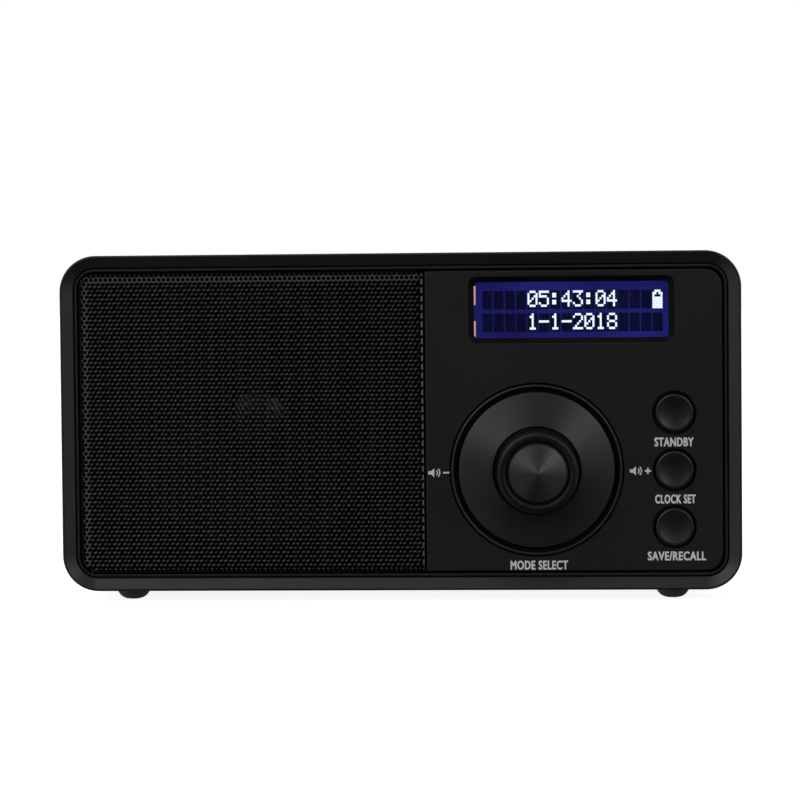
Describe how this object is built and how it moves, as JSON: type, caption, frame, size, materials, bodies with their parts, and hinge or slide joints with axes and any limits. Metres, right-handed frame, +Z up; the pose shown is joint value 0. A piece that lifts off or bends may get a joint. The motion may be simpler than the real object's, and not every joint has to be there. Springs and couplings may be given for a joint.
{
  "type": "tabletop radio",
  "caption": "Small black tabletop radio with a perforated speaker grille, a backlit character display, a large turning dial with a centre push, push buttons and a folding telescopic antenna.",
  "frame": {"origin": "centre of the bounding box on the table plane, under the feet", "axes": "+X to the right seen from the front, +Y to the back, +Z up; the front faces -Y"},
  "size_m": [0.175, 0.0606, 0.0898],
  "materials": {
    "case_black": "fine satin moulded black",
    "baffle_black": "matt moulded black",
    "panel_black": "matt black with printed legends",
    "grille_metal": "black coated perforated sheet",
    "lens_clear": "clear acrylic",
    "plated_steel": "tin plated sheet",
    "lcd_blue": "dark blue negative display glass",
    "backlight_white": "white diffuser",
    "board_green": "green solder mask",
    "dial_black": "satin black, spun texture",
    "knob_black": "satin black",
    "spun_metal": "dark anodised, spun radially",
    "button_black": "satin black",
    "switch_black": "moulded black",
    "encoder_metal": "stamped steel",
    "screw_steel": "zinc plated",
    "case_screw_black": "black oxide",
    "gasket_foam": "foam",
    "basket_steel": "black coated pressing",
    "ferrite": "bare ferrite",
    "cone_paper": "black paper cone",
    "surround_rubber": "matt rubber",
    "cell_wrap": "plain blue sleeve",
    "door_black": "fine satin moulded black",
    "foot_rubber": "matt rubber",
    "antenna_chrome": "polished",
    "antenna_fitting": "satin chrome"
  },
  "bodies": {
    "root": {"front_shell": "case_black", "rear_cover": "case_black", "front_baffle": "baffle_black", "control_panel": "panel_black", "speaker_grille": "grille_metal", "lcd_window": "lens_clear", "lcd_frame": "plated_steel", "tuner_shield": "plated_steel", "charge_socket": "plated_steel", "battery_contact_left": "plated_steel", "battery_contact_right": "plated_steel", "lcd_glass": "lcd_blue", "lcd_backlight": "backlight_white", "lcd_board": "board_green", "control_board": "board_green", "main_board": "board_green", "dial_surround": "dial_black", "power_switch": "switch_black", "clock_switch": "switch_black", "memory_switch": "switch_black", "headphone_jack": "switch_black", "dial_encoder": "encoder_metal", "control_board_screw_1": "screw_steel", "control_board_screw_2": "screw_steel", "speaker_screw_1": "screw_steel", "speaker_screw_2": "screw_steel", "speaker_screw_3": "screw_steel", "speaker_screw_4": "screw_steel", "case_screw_1": "case_screw_black", "case_screw_2": "case_screw_black", "case_screw_3": "case_screw_black", "case_screw_4": "case_screw_black", "speaker_gasket": "gasket_foam", "speaker_basket": "basket_steel", "speaker_magnet": "ferrite", "speaker_cone": "cone_paper", "speaker_dust_cap": "cone_paper", "speaker_surround": "surround_rubber", "battery_pack": "cell_wrap", "foot_front_left": "foot_rubber", "foot_front_right": "foot_rubber", "foot_rear_left": "foot_rubber", "foot_rear_right": "foot_rubber", "antenna_clip": "antenna_fitting"},
    "power_key": {"power_button": "button_black"},
    "clock_key": {"clock_button": "button_black"},
    "memory_key": {"memory_button": "button_black"},
    "dial": {"dial_disc": "dial_black"},
    "knob": {"knob_body": "knob_black", "knob_cap": "spun_metal"},
    "door": {"battery_door": "door_black"},
    "antenna_turret": {"antenna_base": "antenna_fitting", "antenna_pin": "antenna_fitting"},
    "antenna_arm": {"antenna_knuckle": "antenna_fitting", "antenna_tube_1": "antenna_chrome"},
    "antenna_stage_2": {"antenna_tube_2": "antenna_chrome"},
    "antenna_stage_3": {"antenna_tube_3": "antenna_chrome"},
    "antenna_stage_4": {"antenna_tube_4": "antenna_chrome"},
    "antenna_stage_5": {"antenna_rod": "antenna_chrome", "antenna_tip": "antenna_chrome"}
  },
  "joints": [
    {"name": "power_press", "type": "slide", "parent": "root", "child": "power_key", "axis": [0, 1, 0], "range_m": [0, 0.0008], "stiffness_N_per_m": 1500, "springref_m": -0.0002},
    {"name": "clock_press", "type": "slide", "parent": "root", "child": "clock_key", "axis": [0, 1, 0], "range_m": [0, 0.0008], "stiffness_N_per_m": 1500, "springref_m": -0.0002},
    {"name": "memory_press", "type": "slide", "parent": "root", "child": "memory_key", "axis": [0, 1, 0], "range_m": [0, 0.0008], "stiffness_N_per_m": 1500, "springref_m": -0.0002},
    {"name": "dial_turn", "type": "hinge", "parent": "root", "child": "dial", "pos_m": [0.0352, -0.02015, 0.0338], "axis": [0, 1, 0], "continuous": true},
    {"name": "knob_press", "type": "slide", "parent": "dial", "child": "knob", "axis": [0, 1, 0], "range_m": [0, 0.0006], "stiffness_N_per_m": 2000, "springref_m": -0.0002},
    {"name": "door_lift", "type": "slide", "parent": "root", "child": "door", "axis": [0, 1, 0], "range_m": [0, 0.02]},
    {"name": "antenna_swivel", "type": "hinge", "parent": "root", "child": "antenna_turret", "pos_m": [0.066, 0.02085, 0.0774], "axis": [0, 1, 0], "range_deg": [0, 180]},
    {"name": "antenna_tilt", "type": "hinge", "parent": "antenna_turret", "child": "antenna_arm", "pos_m": [0.066, 0.02585, 0.0774], "axis": [0, 0, -1], "range_deg": [0, 90]},
    {"name": "antenna_extend_2", "type": "slide", "parent": "antenna_arm", "child": "antenna_stage_2", "axis": [-1, 0, 0], "range_m": [0, 0.108]},
    {"name": "antenna_extend_3", "type": "slide", "parent": "antenna_stage_2", "child": "antenna_stage_3", "axis": [-1, 0, 0], "range_m": [0, 0.108]},
    {"name": "antenna_extend_4", "type": "slide", "parent": "antenna_stage_3", "child": "antenna_stage_4", "axis": [-1, 0, 0], "range_m": [0, 0.108]},
    {"name": "antenna_extend_5", "type": "slide", "parent": "antenna_stage_4", "child": "antenna_stage_5", "axis": [-1, 0, 0], "range_m": [0, 0.108]}
  ]
}
